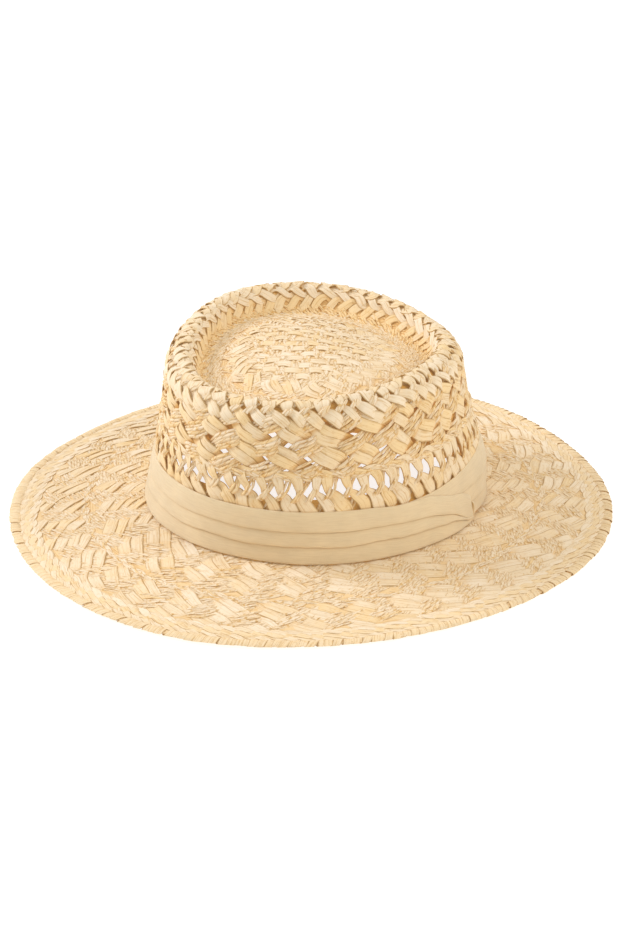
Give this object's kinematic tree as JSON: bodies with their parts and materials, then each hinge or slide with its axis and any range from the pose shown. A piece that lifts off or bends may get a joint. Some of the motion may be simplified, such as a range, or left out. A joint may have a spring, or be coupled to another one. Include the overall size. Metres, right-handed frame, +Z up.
{
  "type": "wide-brimmed woven straw hat with telescope crown",
  "caption": "Openwork woven straw hat with a wide oval brim, a flat-sided crown whose top is pressed down inside a plaited rim, and a pleated cloth band.",
  "frame": {"origin": "middle of the hat's plan at floor level, where the underside of the brim edge rests", "axes": "+Z up, -Y the front of the hat, +X the wearer's left, where the band is gathered; +Y is the longer way across the brim"},
  "size_m": [0.338, 0.3736, 0.1046],
  "materials": {
    "straw": "matt, flat paper-straw ribbons and twisted cords, woven",
    "band_cloth": "matt, plain cotton weave"
  },
  "bodies": {
    "root": {"crown_tip": "straw", "crown_well": "straw", "crown_rim": "straw", "crown_side": "straw", "brim": "straw", "brim_edge": "straw", "hat_band": "band_cloth", "band_tuck": "band_cloth"}
  },
  "joints": []
}
